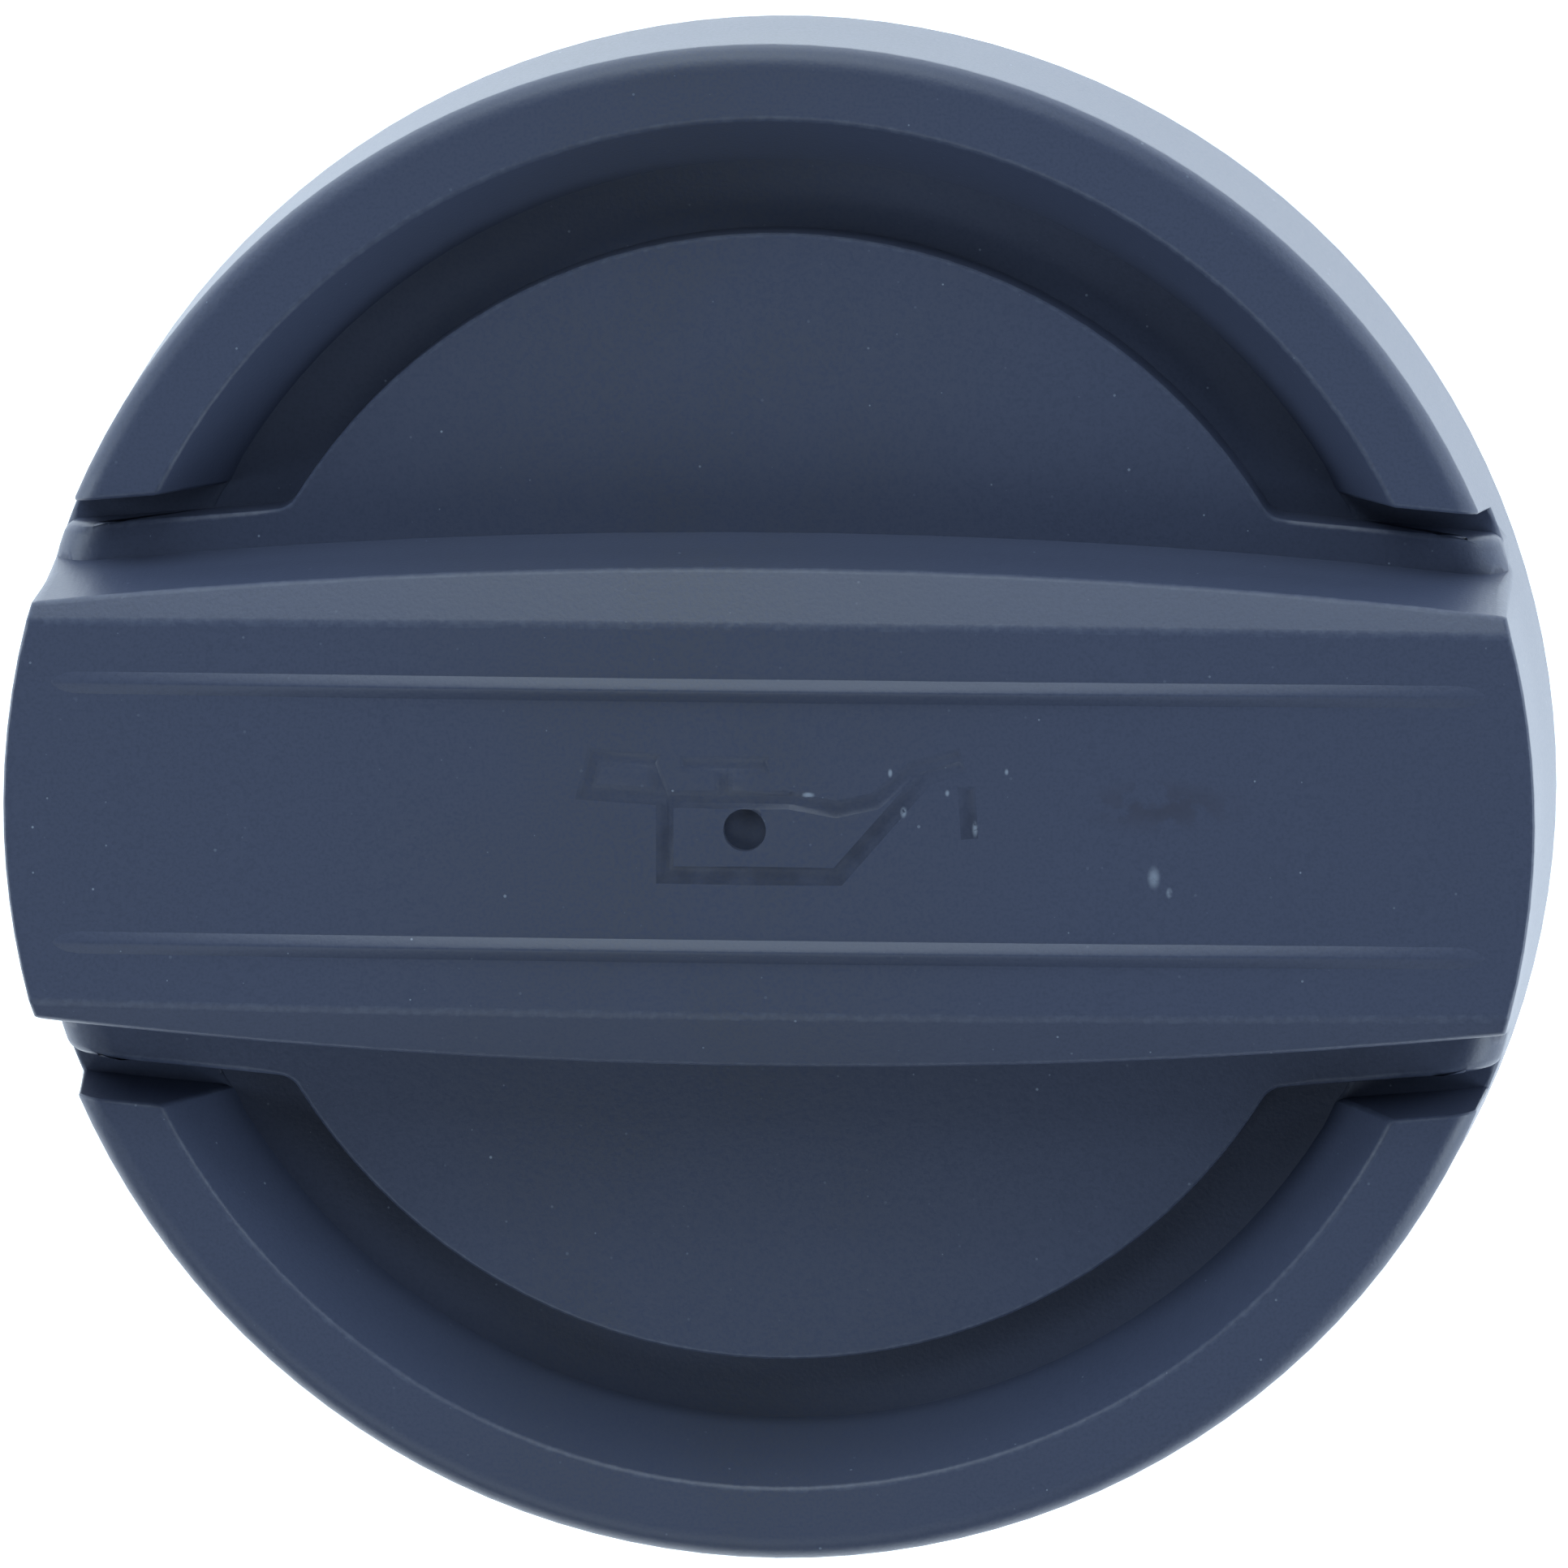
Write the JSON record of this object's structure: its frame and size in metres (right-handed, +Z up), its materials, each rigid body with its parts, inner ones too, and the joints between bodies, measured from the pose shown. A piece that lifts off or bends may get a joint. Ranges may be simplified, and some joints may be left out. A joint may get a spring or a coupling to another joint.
{
  "type": "oil filler cap",
  "caption": "Round moulded oil filler cap with a raised grip bar, two crescent rims and a hollow bayonet stem that carries a sealing ring.",
  "frame": {"origin": "centre of the flat end of the stem, on which the cap stands", "axes": "+Z up through the grip bar, X along the grip bar, +Y towards the top of the symbol on the bar"},
  "size_m": [0.0706, 0.0706, 0.0287],
  "materials": {
    "moulded_plastic": "matte moulded, slate blue-black, fine grain",
    "seal_rubber": "satin black rubber"
  },
  "bodies": {
    "root": {"cap_body": "moulded_plastic", "sealing_ring": "seal_rubber"}
  },
  "joints": []
}
